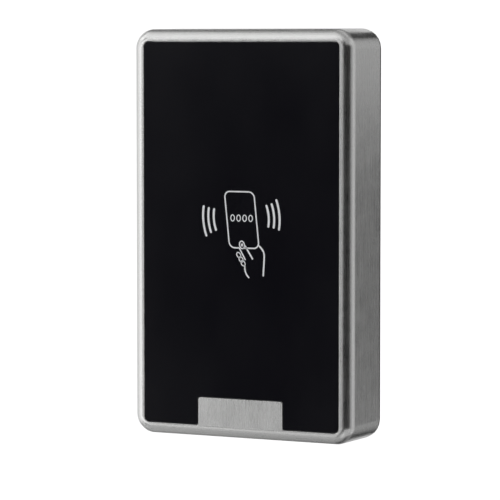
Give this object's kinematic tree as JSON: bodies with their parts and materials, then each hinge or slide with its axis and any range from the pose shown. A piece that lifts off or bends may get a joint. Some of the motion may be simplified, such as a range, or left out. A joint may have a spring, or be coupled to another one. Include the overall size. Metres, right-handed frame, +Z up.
{
  "type": "rfid card reader",
  "caption": "Slim upright wall-mounted proximity card reader: satin metal case, flush black gloss panel notched at the bottom round a metal tab, hook-on wall plate, lock screw below.",
  "frame": {"origin": "on the wall plane, which is the back face of the wall plate, centred across the case and half way up it", "axes": "+X to the reader's right seen from the front, +Y into the wall, +Z up; the black panel faces -Y"},
  "size_m": [0.0716, 0.0207, 0.1202],
  "materials": {
    "satin_zinc": "satin, finely brushed",
    "black_panel": "gloss",
    "tape_foam": "matte",
    "enamelled_copper": "satin",
    "white_nylon": "satin",
    "ferrite": "matte",
    "clear_acrylic": "gloss",
    "led_lens": "gloss",
    "green_resist": "satin",
    "black_epoxy": "matte",
    "nickel_can": "satin",
    "ferrite_grey": "matte",
    "capacitor_can": "satin",
    "buzzer_plastic": "matte",
    "ivory_nylon": "matte",
    "switch_plastic": "matte",
    "plunger_acetal": "satin",
    "spring_steel": "bright",
    "black_abs": "fine spark texture",
    "grey_silicone": "matte",
    "seal_foam": "matte",
    "black_rubber": "matte",
    "galvanised_steel": "galvanised",
    "stainless_steel": "satin",
    "washer_nylon": "matte",
    "nut_steel": "satin",
    "zinc_plated_steel": "bright"
  },
  "bodies": {
    "wall_plate": {"wall_plate": "galvanised_steel", "lock_nut": "nut_steel"},
    "reader": {"case": "satin_zinc", "front_panel": "black_panel", "back_cover": "black_abs", "cable_grommet": "black_rubber", "cover_screw_top_left": "zinc_plated_steel", "cover_screw_top_right": "zinc_plated_steel", "cover_screw_bottom_left": "zinc_plated_steel", "cover_screw_bottom_right": "zinc_plated_steel", "panel_tape": "tape_foam", "antenna_coil": "enamelled_copper", "coil_carrier": "white_nylon", "ferrite_sheet": "ferrite", "light_guide": "clear_acrylic", "status_led_left": "led_lens", "status_led_right": "led_lens", "main_board": "green_resist", "microcontroller": "black_epoxy", "rf_chip": "black_epoxy", "crystal": "nickel_can", "regulator": "black_epoxy", "inductor": "ferrite_grey", "capacitor_upper": "capacitor_can", "capacitor_lower": "capacitor_can", "protection_diode": "black_epoxy", "buzzer": "buzzer_plastic", "wire_connector": "ivory_nylon", "tamper_switch": "switch_plastic", "tamper_spring": "spring_steel", "cover_gasket": "grey_silicone", "wall_seal": "seal_foam", "board_screw_top_left": "zinc_plated_steel", "board_screw_top_right": "zinc_plated_steel", "board_screw_bottom_left": "zinc_plated_steel", "board_screw_bottom_right": "zinc_plated_steel"},
    "tamper_plunger": {"tamper_plunger": "plunger_acetal"},
    "lock_washer": {"lock_washer": "washer_nylon"},
    "lock_screw": {"lock_screw": "stainless_steel"}
  },
  "joints": [
    {"name": "reader_lift", "type": "slide", "parent": "wall_plate", "child": "reader", "axis": [0, 0, 1], "range_m": [0, 0.004]},
    {"name": "tamper_plunge", "type": "slide", "parent": "reader", "child": "tamper_plunger", "axis": [0, 1, 0], "range_m": [0, 0.002], "stiffness_N_per_m": 150, "springref_m": 0.004, "deforming": ["tamper_spring"]},
    {"name": "lock_screw_travel", "type": "slide", "parent": "reader", "child": "lock_washer", "axis": [0, 0, -1], "range_m": [0, 0.004]},
    {"name": "lock_screw_turn", "type": "hinge", "parent": "lock_washer", "child": "lock_screw", "pos_m": [0, -0.009, -0.058], "axis": [0, 0, -1], "range_deg": [0, 2880]}
  ],
  "couplings": [
    {"joint": "lock_screw_turn", "follows": "lock_screw_travel", "rad_per_m": 12566}
  ]
}
